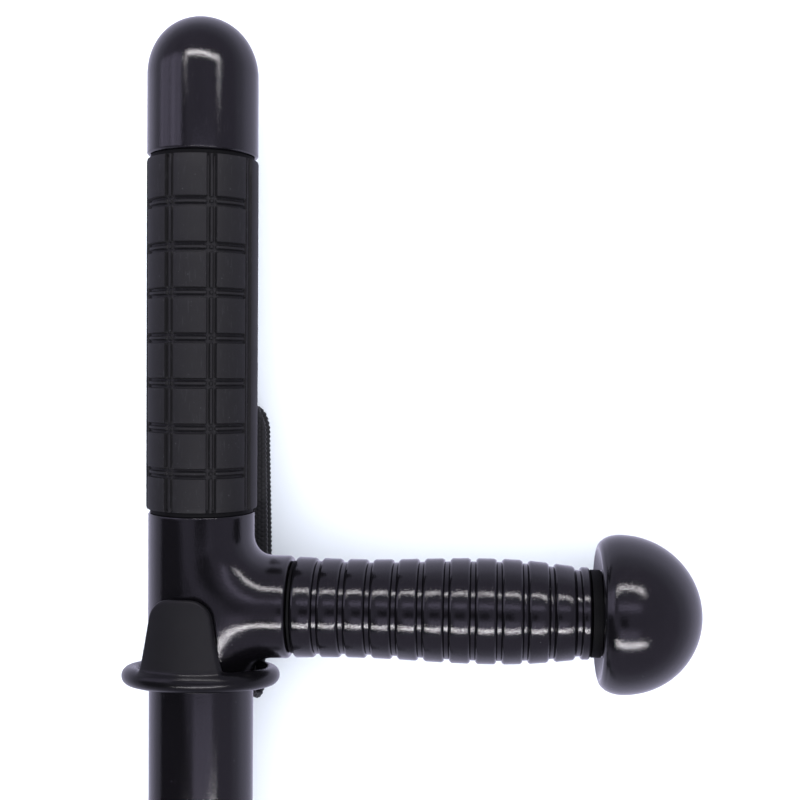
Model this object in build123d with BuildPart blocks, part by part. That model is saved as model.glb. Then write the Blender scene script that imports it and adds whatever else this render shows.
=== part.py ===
from build123d import *
import os
from math import cos, pi, radians, sin

# Side-handle baton with its belt holder, in millimetres.
# +Y runs along the shaft towards the domed cap, +X along the side handle, +Z up as the baton lies flat.
# The origin is on the shaft's axis, at the lower edge of the tee, where the bare shaft begins.

# Clearances
bond_gap = 0.05       # glued, moulded-in and screwed fits, radially
running_gap = 0.05    # turning fits, radially
body_gap = 0.3        # between pieces that move past each other

# Shaft
shaft_r = 16.0
shaft_ledge = 2.0     # step in the bore, which the core tube stands on
shaft_length = 394.0  # bare shaft, from the tee to the tip cap
tip_dome = 14.0
tip_spigot = 24.0

# Core tube, which runs from inside the shaft up to the cap
core_r = 14.0
core_wall = 2.5
core_below = 110.0    # how far it reaches down into the shaft
core_in_cap = 17.0    # how far it reaches up into the cap

# Tee
tee_step = 0.25       # how far it stands proud of the shaft
tee_length = 50.9
handle_y = 22.0       # height of the side handle's axis
root_r = 15.6
root_end_x = 28.2
root_fillet = 5.5
root_edge = 1.2       # rounding of the root's outer end

# Rubber grip
grip_step = 0.9       # how far it stands proud of the shaft
grip_length = 105.8
grip_ring_width = 1.4
grip_ring_depth = 1.2  # how far it sits below the grip
row_count = 8
row_trim = 0.64       # how much shorter the end rows are
row_drop = 1.2        # how much lower than the middle the whole waffle lies
groove_width = 2.9
groove_depth = 0.8
inner_groove_deg = 22.5
outer_groove_deg = 68.5
grip_rim = 0.5

# Domed cap
cap_step = 0.8        # how far it stands proud of the shaft
cap_straight = 24.3
cap_dome = 18.0
dome_fullness = 0.57  # 0.55 makes the dome half an ellipse
cap_lip = 0.6

# Ribbed handle
rib_count = 11
rib_pitch = 7.84
rib_gap = 1.5
rib_depth = 0.95
rib_round = 0.45
swell_mean_r = 15.45
swell_r = 0.5         # how far the ribs rise and fall about the mean
swell_length = 78.0
swell_crest_x = 87.0
taper_from_x = 92.0
taper_rate = 0.00225
end_ring_r = 13.8
end_ring_width = 2.8
bush_r = 9.0
bush_length = 15.0
root_washer_r = 14.0
root_washer_thick = 0.9

# Handle core, inserts and knob
axle_r = 6.0
thread_r = 5.0
insert_r = 8.0
tee_insert_wall = 1.6  # of the tee, between the core tube and the insert's pocket
knob_insert_length = 16.0
neck_r = 13.1
neck_washer_thick = 3.0
boss_length = 2.3
knob_r = 23.8
knob_rim_r = 19.8
knob_back = 0.9       # how far the rim reaches back over the boss's end
knob_belly = 6.7      # from the rim to the widest place
knob_dome = 24.1      # from the widest place to the crown

# Belt holder
ring_gap = 2.5        # between the shaft and the ring
ring_tube_r = 2.85
ring_y = 0.3
ring_tilt = 7.5       # degrees that the ring hangs down at the back, its tongue leaning on the tee
tongue_thick = 2.2
tongue_rise = 24.0    # from the ring's middle
tongue_base_half = 12.8
tongue_top_half = 8.7
tongue_corner = 5.5
tongue_turn = -6.5    # degrees about the shaft, away from the side handle
web_thick = 1.5
web_width = 35.0
wrap_half_deg = 46.0
fold_y = -6.0         # where the webbing turns under the ring
loop_room = 5.4       # between the belt loop's two layers
loop_top_y = 83.0
hinge_y = 5.0         # where the belt loop flexes against the wrap
fold_corner = 7.0
stitch_y = 17.0
stitch_length = 3.0
stitch_width = 0.7
stitch_height = 0.3
stitch_pitch = 4.2
stitch_row_pitch = 4.0
stitch_rows = 4
stitch_columns = 7

# Places that follow from the sizes above
shaft_bore_r = core_r - shaft_ledge
core_bore_r = core_r - core_wall
tee_r = shaft_r + tee_step
grip_r = shaft_r + grip_step
grip_ring_r = grip_r - grip_ring_depth
cap_r = shaft_r + cap_step
tee_insert_from_x = core_r + tee_insert_wall
row_pitch = (grip_length + 2 * row_trim) / row_count
grip_y = tee_length + grip_ring_width
grip_top_y = grip_y + grip_length
cap_y = grip_top_y + grip_ring_width
cap_dome_y = cap_y + cap_straight
ribs_x = root_end_x + rib_gap
ribs_end_x = ribs_x + rib_count * rib_pitch - rib_gap
sleeve_end_x = ribs_end_x + rib_gap + end_ring_width
boss_x = sleeve_end_x + neck_washer_thick + 2 * body_gap
boss_root_x = boss_x + boss_length
rim_x = boss_x - knob_back
belly_x = rim_x + knob_belly
crown_x = belly_x + knob_dome
axle_end_x = boss_x + knob_insert_length
ring_bore_r = shaft_r + ring_gap
ring_mid_r = ring_bore_r + ring_tube_r
ring_outer_r = ring_mid_r + ring_tube_r
tongue_inner_r = ring_mid_r - 0.6
wrap_inner_r = tee_r + body_gap
wrap_outer_r = ring_outer_r + body_gap + web_thick
wrap_bend_r = (wrap_inner_r + wrap_outer_r) / 2
web_inner_z = -(grip_r + body_gap)
web_outer_z = web_inner_z - 2 * web_thick - loop_room

handle_plane = Plane(origin=(0, handle_y, 0), x_dir=(1, 0, 0), z_dir=(0, 0, 1))
handle_axis = Axis((0, handle_y, 0), (1, 0, 0))


def across_shaft(y):
    """A plane square to the shaft at height y, facing the cap."""
    return Plane(origin=(0, y, 0), x_dir=(1, 0, 0), z_dir=(0, 1, 0))


def across_handle(x):
    """A plane square to the side handle at x, facing the knob."""
    return Plane(origin=(x, handle_y, 0), x_dir=(0, 1, 0), z_dir=(1, 0, 0))


def around_shaft(turn_deg):
    """A plane through the shaft's axis, whose x runs outwards at turn_deg from +Z towards +X."""
    turn = radians(turn_deg)
    return Plane(origin=(0, 0, 0), x_dir=(sin(turn), 0, cos(turn)), z_dir=(-cos(turn), 0, sin(turn)))


def facing(turn_deg):
    """A plane through the shaft's axis that faces outwards at turn_deg from +Z towards +X."""
    turn = radians(turn_deg)
    return Plane(origin=(0, 0, 0), x_dir=(cos(turn), 0, -sin(turn)), z_dir=(sin(turn), 0, cos(turn)))


def rib_r(x):
    """Radius of the ribbed handle's crests: a slow swell, with a taper towards the knob."""
    swell = swell_mean_r + swell_r * cos(2 * pi * (x - swell_crest_x) / swell_length)
    return swell - taper_rate * max(0.0, x - taper_from_x) ** 2


os.makedirs("parts", exist_ok=True)


def save(part, name):
    """Labels a finished piece and writes it."""
    part.label = name
    export_step(part, f"parts/{name}.step")


# Shaft tube: bored through, and counterbored at its upper end for the core tube
with BuildPart() as shaft_tube:
    with BuildSketch(across_shaft(-shaft_length)):
        Circle(shaft_r)
        Circle(shaft_bore_r, mode=Mode.SUBTRACT)
    extrude(amount=shaft_length)
    with BuildSketch(across_shaft(-core_below - body_gap)):
        Circle(core_r + bond_gap)
    extrude(amount=core_below + body_gap, mode=Mode.SUBTRACT)
save(shaft_tube.part, "shaft_tube")

# Tip cap: a rounded plug with a spigot glued into the tube
with BuildPart() as tip_cap:
    with BuildSketch(Plane.XY):
        with BuildLine():
            spigot_r = shaft_bore_r - bond_gap
            spigot_top_y = tip_spigot - shaft_length
            dome = EllipticalCenterArc((0, -shaft_length), shaft_r, tip_dome, start_angle=270, arc_size=90)
            Polyline(dome @ 0, (0, spigot_top_y), (spigot_r, spigot_top_y), (spigot_r, -shaft_length), dome @ 1)
        make_face()
    revolve(axis=Axis.Y)
save(tip_cap.part, "tip_cap")

# Core tube: carries the tee, the rubber grip and the cap
with BuildPart() as core_tube:
    with BuildSketch(across_shaft(-core_below)):
        Circle(core_r)
        Circle(core_bore_r, mode=Mode.SUBTRACT)
    extrude(amount=core_below + cap_y + core_in_cap)
save(core_tube.part, "core_tube")

# Tee body: a sleeve on the core tube, with the side handle's root grown out of it in a wide fillet
with BuildPart() as tee_body:
    with BuildSketch(across_shaft(0)):
        Circle(tee_r)
    extrude(amount=tee_length)
    with BuildSketch(across_handle(0)):
        Circle(root_r)
    extrude(amount=root_end_x)
    meeting = tee_body.edges().filter_by(GeomType.BSPLINE)
    fillet(meeting, radius=root_fillet)
    root_rim = tee_body.edges().filter_by(GeomType.CIRCLE).sort_by(Axis.X)[-1]
    fillet(root_rim, radius=root_edge)
    with BuildSketch(across_shaft(0)):
        Circle(core_r + bond_gap)
    extrude(amount=tee_length, mode=Mode.SUBTRACT)
    with BuildSketch(across_handle(tee_insert_from_x)):
        Circle(insert_r + bond_gap)
    extrude(amount=root_end_x - tee_insert_from_x, mode=Mode.SUBTRACT)
save(tee_body.part, "tee_body")

# Retaining rings at the rubber grip's two ends, seen at the bottom of the narrow gaps there
for name, ring_from_y in (("grip_ring_lower", tee_length), ("grip_ring_upper", grip_top_y)):
    with BuildPart() as grip_ring:
        with BuildSketch(across_shaft(ring_from_y)):
            Circle(grip_ring_r)
            Circle(core_r + bond_gap, mode=Mode.SUBTRACT)
        extrude(amount=grip_ring_width)
    save(grip_ring.part, name)

# Rubber grip: pads on the front and the back, parted by grooves, with a plain strip down each side
with BuildPart() as grip_sleeve:
    with BuildSketch(across_shaft(grip_y)):
        Circle(grip_r)
        Circle(core_r + bond_gap, mode=Mode.SUBTRACT)
    extrude(amount=grip_length)
    for face_deg in (0, 180):
        for row in range(row_count - 1):
            row_y = grip_y - row_trim - row_drop + (row + 1) * row_pitch
            with BuildSketch(around_shaft(face_deg - outer_groove_deg)):
                with Locations((grip_r, row_y)):
                    Rectangle(2 * groove_depth, groove_width)
            revolve(axis=Axis((0, 0, 0), (0, 1, 0)), revolution_arc=2 * outer_groove_deg, mode=Mode.SUBTRACT)
        for groove_deg in (-outer_groove_deg, -inner_groove_deg, inner_groove_deg, outer_groove_deg):
            turn = radians(face_deg + groove_deg)
            groove_plane = Plane(
                origin=(grip_r * sin(turn), grip_y + grip_rim, grip_r * cos(turn)),
                x_dir=(sin(turn), 0, cos(turn)),
                z_dir=(0, 1, 0),
            )
            with BuildSketch(groove_plane):
                Rectangle(2 * groove_depth, groove_width)
            extrude(amount=grip_length - 2 * grip_rim, mode=Mode.SUBTRACT)
save(grip_sleeve.part, "grip_sleeve")

# Domed cap, glued over the core tube's upper end
with BuildPart() as end_cap:
    with BuildSketch(Plane.XY):
        with BuildLine():
            crown_y = cap_dome_y + cap_dome
            shoulder = (cap_r, cap_dome_y + dome_fullness * cap_dome)
            Bezier((cap_r, cap_dome_y), shoulder, (dome_fullness * cap_r, crown_y), (0, crown_y))
            Polyline((0, crown_y), (0, cap_y), (cap_r - cap_lip, cap_y), (cap_r, cap_y + cap_lip), (cap_r, cap_dome_y))
        make_face()
    revolve(axis=Axis.Y)
    with BuildSketch(across_shaft(cap_y)):
        Circle(core_r + bond_gap)
    extrude(amount=core_in_cap + body_gap, mode=Mode.SUBTRACT)
save(end_cap.part, "end_cap")

# Threaded insert moulded into the tee's root
with BuildPart() as tee_insert:
    with BuildSketch(across_handle(tee_insert_from_x)):
        Circle(insert_r)
        Circle(thread_r + bond_gap, mode=Mode.SUBTRACT)
    extrude(amount=root_end_x - tee_insert_from_x)
save(tee_insert.part, "tee_insert")

# Handle core: the axle that the ribbed handle turns on, screwed into the tee and the knob
with BuildPart() as handle_core:
    with BuildSketch(across_handle(root_end_x)):
        Circle(axle_r)
    extrude(amount=boss_x - root_end_x)
    with BuildSketch(across_handle(tee_insert_from_x)):
        Circle(thread_r)
    extrude(amount=axle_end_x - tee_insert_from_x)
save(handle_core.part, "handle_core")

# Thin washer in the gap between the tee's root and the first rib
with BuildPart() as root_washer:
    with BuildSketch(across_handle(root_end_x + (rib_gap - root_washer_thick) / 2)):
        Circle(root_washer_r)
        Circle(axle_r + bond_gap, mode=Mode.SUBTRACT)
    extrude(amount=root_washer_thick)
save(root_washer.part, "root_washer")

# Ribbed handle: a sleeve with round-edged ribs, and a stepped ring at the knob end
with BuildPart() as handle_grip:
    with BuildSketch(handle_plane):
        with BuildLine():
            floor_points = [
                (ribs_x + step * rib_pitch, rib_r(ribs_x + step * rib_pitch) - rib_depth)
                for step in range(rib_count)
            ]
            floor_end = (ribs_end_x + rib_gap, rib_r(ribs_end_x + rib_gap) - rib_depth)
            Spline(*floor_points, floor_end)
            Polyline(
                floor_end,
                (sleeve_end_x, floor_end[1]),
                (sleeve_end_x, bush_r),
                (ribs_x, bush_r),
                floor_points[0],
            )
        make_face()
        rib_length = rib_pitch - rib_gap
        for rib in range(rib_count):
            middle_x = ribs_x + rib * rib_pitch + rib_length / 2
            rib_height = 2 * rib_depth
            with Locations((middle_x, rib_r(middle_x) - rib_depth)):
                RectangleRounded(rib_length, rib_height, rib_round * rib_height)
        with Locations((sleeve_end_x - end_ring_width / 2, end_ring_r - rib_depth)):
            RectangleRounded(end_ring_width, 2 * rib_depth, rib_round * rib_depth)
    revolve(axis=handle_axis)
save(handle_grip.part, "handle_grip")

# Plain bushes pressed into the ribbed handle, running on the core
bush_starts = {
    "root_bush": ribs_x,
    "knob_bush": sleeve_end_x - bush_length,
}
for name, bush_x in bush_starts.items():
    with BuildPart() as bush:
        with BuildSketch(across_handle(bush_x)):
            Circle(bush_r)
            Circle(axle_r + running_gap, mode=Mode.SUBTRACT)
        extrude(amount=bush_length)
    save(bush.part, name)

# Matte washer between the ribbed handle and the knob
with BuildPart() as neck_washer:
    with BuildSketch(across_handle(sleeve_end_x + body_gap)):
        Circle(neck_r)
        Circle(axle_r + bond_gap, mode=Mode.SUBTRACT)
    extrude(amount=neck_washer_thick)
save(neck_washer.part, "neck_washer")

# Mushroom knob, with a dished back around its boss
with BuildPart() as knob:
    with BuildSketch(handle_plane):
        with BuildLine():
            socket_r = insert_r + bond_gap
            socket_end_x = axle_end_x + body_gap
            dome = EllipticalCenterArc((belly_x, 0), knob_dome, knob_r, start_angle=0, arc_size=90)
            belly_r = knob_r - knob_rim_r
            belly = EllipticalCenterArc((belly_x, knob_rim_r), knob_belly, belly_r, start_angle=90, arc_size=90)
            Polyline(
                belly @ 1,
                (boss_root_x, neck_r),
                (boss_x, neck_r),
                (boss_x, socket_r),
                (socket_end_x, socket_r),
                (socket_end_x, 0),
                dome @ 0,
            )
        make_face()
    revolve(axis=handle_axis)
save(knob.part, "knob")

# Threaded insert moulded into the knob
with BuildPart() as knob_insert:
    with BuildSketch(across_handle(boss_x)):
        Circle(insert_r)
        Circle(thread_r + bond_gap, mode=Mode.SUBTRACT)
    extrude(amount=knob_insert_length)
save(knob_insert.part, "knob_insert")

# Holder ring: a round hoop with an upright tongue that follows the shaft's curve
with BuildPart() as holder_ring:
    with BuildSketch(facing(tongue_turn)) as tongue_outline:
        with BuildLine():
            Polyline(
                (-tongue_base_half, ring_y),
                (-tongue_top_half, ring_y + tongue_rise),
                (tongue_top_half, ring_y + tongue_rise),
                (tongue_base_half, ring_y),
                close=True,
            )
        make_face()
        fillet(tongue_outline.vertices().group_by(Axis.Y)[-1], radius=tongue_corner)
    extrude(amount=ring_outer_r)
    with BuildSketch(across_shaft(ring_y)):
        Circle(tongue_inner_r + tongue_thick)
        Circle(tongue_inner_r, mode=Mode.SUBTRACT)
    extrude(amount=tongue_rise, mode=Mode.INTERSECT)
    with BuildSketch(around_shaft(0)):
        with Locations((ring_mid_r, ring_y)):
            Circle(ring_tube_r)
    revolve(axis=Axis.Y)
tilt_axis = Axis((0, ring_y, 0), (1, 0, 0))
save(holder_ring.part.rotate(tilt_axis, -ring_tilt), "holder_ring")

# Webbing where it passes round the hoop: a U in section, curved with the back of the shaft
with BuildPart() as loop_wrap:
    with BuildSketch(around_shaft(180 - wrap_half_deg)):
        with BuildLine():
            leg_top_y = hinge_y - body_gap / 2
            Line((wrap_inner_r, leg_top_y), (wrap_inner_r, fold_y))
            CenterArc((wrap_bend_r, fold_y), wrap_bend_r - wrap_inner_r, 180, 180)
            Line((wrap_outer_r, fold_y), (wrap_outer_r, leg_top_y))
            Line((wrap_outer_r, leg_top_y), (wrap_outer_r - web_thick, leg_top_y))
            Line((wrap_outer_r - web_thick, leg_top_y), (wrap_outer_r - web_thick, fold_y))
            CenterArc((wrap_bend_r, fold_y), wrap_bend_r - wrap_inner_r - web_thick, 0, -180)
            Line((wrap_inner_r + web_thick, fold_y), (wrap_inner_r + web_thick, leg_top_y))
            Line((wrap_inner_r + web_thick, leg_top_y), (wrap_inner_r, leg_top_y))
        make_face()
    revolve(axis=Axis.Y, revolution_arc=2 * wrap_half_deg)
save(loop_wrap.part, "loop_wrap")

# Belt loop: two layers of webbing joined by a fold at the top, for a belt to pass through
with BuildPart() as belt_loop:
    with BuildSketch(Plane.YZ.offset(-web_width / 2)):
        with BuildLine():
            leg_y = hinge_y + body_gap / 2
            bend_r = (web_inner_z - web_outer_z) / 2
            bend_y = loop_top_y - bend_r
            bend_z = web_outer_z + bend_r
            Line((leg_y, web_outer_z), (bend_y, web_outer_z))
            CenterArc((bend_y, bend_z), bend_r, -90, 180)
            Line((bend_y, web_inner_z), (leg_y, web_inner_z))
            Line((leg_y, web_inner_z), (leg_y, web_inner_z - web_thick))
            Line((leg_y, web_inner_z - web_thick), (bend_y, web_inner_z - web_thick))
            CenterArc((bend_y, bend_z), bend_r - web_thick, 90, -180)
            Line((bend_y, web_outer_z + web_thick), (leg_y, web_outer_z + web_thick))
            Line((leg_y, web_outer_z + web_thick), (leg_y, web_outer_z))
        make_face()
    extrude(amount=web_width)
    with BuildSketch(Plane.XY.offset(web_outer_z)) as loop_outline:
        with Locations((0, (hinge_y + loop_top_y) / 2)):
            Rectangle(web_width, loop_top_y - hinge_y)
        fillet(loop_outline.vertices().group_by(Axis.Y)[-1], radius=fold_corner)
    extrude(amount=web_inner_z - web_outer_z, mode=Mode.INTERSECT)
save(belt_loop.part, "belt_loop")

# Stitches that close the loop, lying on its outer face
with BuildPart() as loop_stitching:
    with BuildSketch(Plane.XY.offset(web_outer_z)):
        with Locations((0, stitch_y)):
            with GridLocations(stitch_pitch, stitch_row_pitch, stitch_columns, stitch_rows):
                SlotOverall(stitch_length, stitch_width)
    extrude(amount=-stitch_height)
save(loop_stitching.part, "loop_stitching")
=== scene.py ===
from math import ceil, cos, pi, radians, sin

import bmesh
import bpy
import numpy as np
from mathutils import Euler, Matrix, Vector


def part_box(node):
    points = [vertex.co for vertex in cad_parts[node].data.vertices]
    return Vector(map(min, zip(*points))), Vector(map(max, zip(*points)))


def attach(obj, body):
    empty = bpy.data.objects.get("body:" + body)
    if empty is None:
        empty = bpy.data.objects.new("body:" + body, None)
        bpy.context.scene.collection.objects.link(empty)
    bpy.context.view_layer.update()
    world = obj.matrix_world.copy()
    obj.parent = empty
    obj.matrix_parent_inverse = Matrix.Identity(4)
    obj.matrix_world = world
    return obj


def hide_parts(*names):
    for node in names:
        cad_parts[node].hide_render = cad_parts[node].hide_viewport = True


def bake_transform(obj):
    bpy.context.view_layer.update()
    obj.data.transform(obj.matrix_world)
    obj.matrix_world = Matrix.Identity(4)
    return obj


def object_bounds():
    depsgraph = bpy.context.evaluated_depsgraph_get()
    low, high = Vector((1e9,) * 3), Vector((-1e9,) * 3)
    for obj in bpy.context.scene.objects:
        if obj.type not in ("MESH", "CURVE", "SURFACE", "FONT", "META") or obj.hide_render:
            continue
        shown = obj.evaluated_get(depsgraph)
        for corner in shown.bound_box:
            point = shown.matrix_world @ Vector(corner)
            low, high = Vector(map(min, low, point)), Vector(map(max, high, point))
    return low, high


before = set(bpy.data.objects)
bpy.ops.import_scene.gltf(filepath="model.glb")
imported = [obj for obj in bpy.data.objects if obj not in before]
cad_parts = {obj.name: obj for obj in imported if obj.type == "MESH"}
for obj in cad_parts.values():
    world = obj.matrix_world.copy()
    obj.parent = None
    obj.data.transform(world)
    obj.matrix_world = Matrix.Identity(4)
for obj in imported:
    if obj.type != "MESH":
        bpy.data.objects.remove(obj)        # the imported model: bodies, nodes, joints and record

cadLow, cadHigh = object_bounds()
mm = 0.001


# sums written as Python, for shaders and for Geometry Nodes alike

class Term:
    def __init__(self, graph, socket):
        self.graph = graph
        self.socket = socket

    def math(self, operation, *values):
        return self.graph.math(operation, self, *values)

    def __add__(self, other): return self.graph.math("ADD", self, other)
    def __radd__(self, other): return self.graph.math("ADD", other, self)
    def __sub__(self, other): return self.graph.math("SUBTRACT", self, other)
    def __rsub__(self, other): return self.graph.math("SUBTRACT", other, self)
    def __mul__(self, other): return self.graph.math("MULTIPLY", self, other)
    def __rmul__(self, other): return self.graph.math("MULTIPLY", other, self)
    def __truediv__(self, other): return self.graph.math("DIVIDE", self, other)
    def __rtruediv__(self, other): return self.graph.math("DIVIDE", other, self)
    def __pow__(self, other): return self.graph.math("POWER", self, other)
    def __neg__(self): return self.graph.math("MULTIPLY", self, -1.0)
    def __abs__(self): return self.graph.math("ABSOLUTE", self)
    def __gt__(self, other): return self.graph.math("GREATER_THAN", self, other)
    def __lt__(self, other): return self.graph.math("LESS_THAN", self, other)


class Graph:
    def __init__(self, tree):
        self.tree = tree

    def node(self, kind, settings=None, sockets=None, out=0):
        made = self.tree.nodes.new(kind)
        for key, value in (settings or {}).items():
            setattr(made, key, value)
        for key, value in (sockets or {}).items():
            if isinstance(value, Term):
                self.tree.links.new(value.socket, made.inputs[key])
            else:
                made.inputs[key].default_value = value
        return Term(self, made.outputs[out])

    def math(self, operation, *values):
        return self.node("ShaderNodeMath", {"operation": operation}, dict(enumerate(values)))

    def vector(self, x, y, z):
        return self.node("ShaderNodeCombineXYZ", None, {0: x, 1: y, 2: z})

    def parts(self, vector):
        first = self.node("ShaderNodeSeparateXYZ", None, {0: vector})
        return [Term(self, first.socket.node.outputs[i]) for i in range(3)]

    def step(self, value, low, high):        # 0 below low, 1 above high, smooth between
        sockets = {"Value": value, "From Min": low, "From Max": high, "To Min": 0.0, "To Max": 1.0}
        return self.node("ShaderNodeMapRange", {"interpolation_type": "SMOOTHSTEP"}, sockets)

    def pick(self, mask, without, within):        # one of two values by a mask of 0 and 1
        return without + (within - without) * mask

    def colours(self, factor, *pair):
        first, second = [value if isinstance(value, Term) else (*value, 1.0) for value in pair]
        return self.node("ShaderNodeMix", {"data_type": "RGBA"}, {0: factor, 6: first, 7: second}, out=2)


# meshes

def keepMesh(name, mesh, material, sharpDeg=38):
    piece = bpy.data.objects.new(name, mesh)
    bpy.context.scene.collection.objects.link(piece)
    finishMesh(mesh, material, sharpDeg)
    return piece


def finishMesh(mesh, material, sharpDeg=38):
    mesh.materials.clear()
    mesh.materials.append(material)
    for face in mesh.polygons:
        face.use_smooth = True
    mesh.set_sharp_from_angle(angle=radians(sharpDeg))


def closeUp(mesh, gap=1e-6):        # merges doubles, if there is a gap, and turns every face outwards
    work = bmesh.new()
    work.from_mesh(mesh)
    if gap:
        bmesh.ops.remove_doubles(work, verts=work.verts, dist=gap)
        bmesh.ops.dissolve_degenerate(work, edges=work.edges, dist=gap)
    bmesh.ops.recalc_face_normals(work, faces=work.faces)
    work.to_mesh(mesh)
    work.free()


def roundCorners(corners, steps=5):
    # corners are (along, out, radius) in turn round a closed outline; a corner with no radius stays sharp
    outline = []
    for i, (a, r, radius) in enumerate(corners):
        here = Vector((a, r))
        back = Vector(corners[i - 1][:2]) - here
        ahead = Vector(corners[(i + 1) % len(corners)][:2]) - here
        turn = pi - back.angle(ahead) if radius else 0.0
        if turn < 0.05:
            outline.append((a, r))
            continue
        reach = radius * np.tan(turn / 2)
        middle = here + (back.normalized() + ahead.normalized()).normalized() * radius / cos(turn / 2)
        first = here + back.normalized() * reach - middle
        last = here + ahead.normalized() * reach - middle
        for k in range(steps + 1):
            spoke = first.lerp(last, k / steps).normalized() * radius + middle
            outline.append((spoke.x, spoke.y))
    return outline


def arc(along, out, alongR, outR, startDeg, endDeg, steps):        # sharp points on a round stretch of an outline
    turns = np.radians(np.linspace(startDeg, endDeg, steps + 1))
    return [(along + alongR * sin(t), out + outR * cos(t), 0) for t in turns]


def lathe(name, corners, axis, centre, material, around=160):
    # turns a closed outline about an axis through centre; radii of 0 make a closed pole
    outline = roundCorners(corners)
    a = np.array([p[0] for p in outline])
    r = np.array([max(p[1], 0.0) for p in outline])
    turns = np.linspace(0, 2 * pi, around, endpoint=False)
    out = np.outer(np.sin(turns), r), np.outer(np.cos(turns), r)
    along = np.tile(a, (around, 1))
    if axis == "y":
        spots = np.stack([out[0] + centre[0], along, out[1] + centre[2]], -1)
    else:
        spots = np.stack([along, out[0] + centre[1], out[1] + centre[2]], -1)
    count = len(a)
    faces = []
    for i in range(around):
        for j in range(count):
            nextI, nextJ = (i + 1) % around, (j + 1) % count
            if r[j] > 0 or r[nextJ] > 0:
                corner = (i * count + j, i * count + nextJ, nextI * count + nextJ, nextI * count + j)
                faces.append(corner)
    mesh = bpy.data.meshes.new(name)
    mesh.from_pydata(spots.reshape(-1, 3), [], faces)
    closeUp(mesh)
    return keepMesh(name, mesh, material)


def nodeModel(name, sizes, build, material, sharpDeg=38):
    # a Geometry Nodes tree with one named input for each size, run once and kept as a plain mesh
    tree = bpy.data.node_groups.new(name + "Tree", "GeometryNodeTree")
    tree.is_modifier = True
    tree.interface.new_socket(name="Geometry", in_out="OUTPUT", socket_type="NodeSocketGeometry")
    identifiers = {}
    for key, value in sizes.items():
        kind = "NodeSocketInt" if isinstance(value, int) else "NodeSocketFloat"
        identifiers[key] = tree.interface.new_socket(name=key, in_out="INPUT", socket_type=kind).identifier
    graph = Graph(tree)
    start = tree.nodes.new("NodeGroupInput")
    shape = build(graph, {key: Term(graph, start.outputs[key]) for key in sizes})
    shape = graph.node("GeometryNodeRealizeInstances", None, {"Geometry": shape})
    shape = graph.node("GeometryNodeSetMaterial", None, {"Geometry": shape, "Material": material})
    end = tree.nodes.new("NodeGroupOutput")
    tree.links.new(shape.socket, end.inputs[0])
    piece = bpy.data.objects.new(name, bpy.data.meshes.new(name + "Start"))
    bpy.context.scene.collection.objects.link(piece)
    modifier = piece.modifiers.new("shape", "NODES")
    modifier.node_group = tree
    for key, identifier in identifiers.items():
        modifier[identifier] = sizes[key]
    shown = bpy.context.evaluated_depsgraph_get()
    mesh = bpy.data.meshes.new_from_object(piece.evaluated_get(shown), preserve_all_data_layers=True, depsgraph=shown)
    piece.modifiers.clear()
    piece.data = mesh
    closeUp(mesh, 2e-6)
    finishMesh(mesh, material, sharpDeg)
    return piece


def lattice(graph, columns, lines):        # a flat grid to wrap round a piece, and where in it each point is
    columns, lines = columns * 1.0, lines * 1.0
    grid = graph.node("GeometryNodeMeshGrid", None, {
        "Size X": columns, "Size Y": lines, "Vertices X": columns + 1.0, "Vertices Y": lines + 1.0})
    x, y, z = graph.parts(graph.node("GeometryNodeInputPosition"))
    return grid, (x + columns / 2).math("ROUND"), (y + lines / 2).math("ROUND")


def settle(piece, body, slot, *nodes):        # attaches a new piece to its body, hides the CAD nodes it stands for and prints its face count
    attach(piece, body)
    if nodes:
        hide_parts(*nodes)
    print("made", piece.name, len(piece.data.polygons), "faces")
    return piece


# materials

def newMaterial(name):
    material = bpy.data.materials.new(name)
    material.use_nodes = True
    graph = Graph(material.node_tree)
    shader = material.node_tree.nodes["Principled BSDF"]
    place = graph.node("ShaderNodeTexCoord", None, None, out=3)
    return material, graph, shader, place


def wire(shader, name, value):
    value.graph.tree.links.new(value.socket, shader.inputs[name])


def noise(place, scale, detail=2.0, rough=0.5):
    sockets = {"Vector": place, "Scale": scale, "Detail": detail, "Roughness": rough}
    return place.graph.node("ShaderNodeTexNoise", None, sockets)


def stretch(place, by):        # a pattern's place, drawn out where by is below 1
    return place.graph.node("ShaderNodeVectorMath", {"operation": "MULTIPLY"}, {0: place, 1: by})


def specks(place, scale, size):        # small round spots, in some of the cells only
    graph = place.graph
    cells = {"Vector": place, "Scale": scale}
    far = graph.node("ShaderNodeTexVoronoi", None, cells)
    chance = graph.parts(graph.node("ShaderNodeTexVoronoi", None, cells, out=1))[0]
    return (1 - graph.step(far, size * 0.6, size)) * (chance > 0.82)


def bumpOf(height, distance, strength=1.0, under=None):
    sockets = {"Height": height, "Distance": distance, "Strength": strength}
    if under:
        sockets["Normal"] = under
    return height.graph.node("ShaderNodeBump", None, sockets)


glossyBlack = {
    "colour": (0.0020, 0.0017, 0.0022), "dustColour": (0.09, 0.09, 0.10), "roughness": 0.080,
    "cloudColour": (0.0034, 0.0030, 0.0038), "peelSize": 0.50 * mm, "peelHeight": 0.040 * mm, "scratchSize": 9 * mm,
    "ior": 1.52,
}


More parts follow.
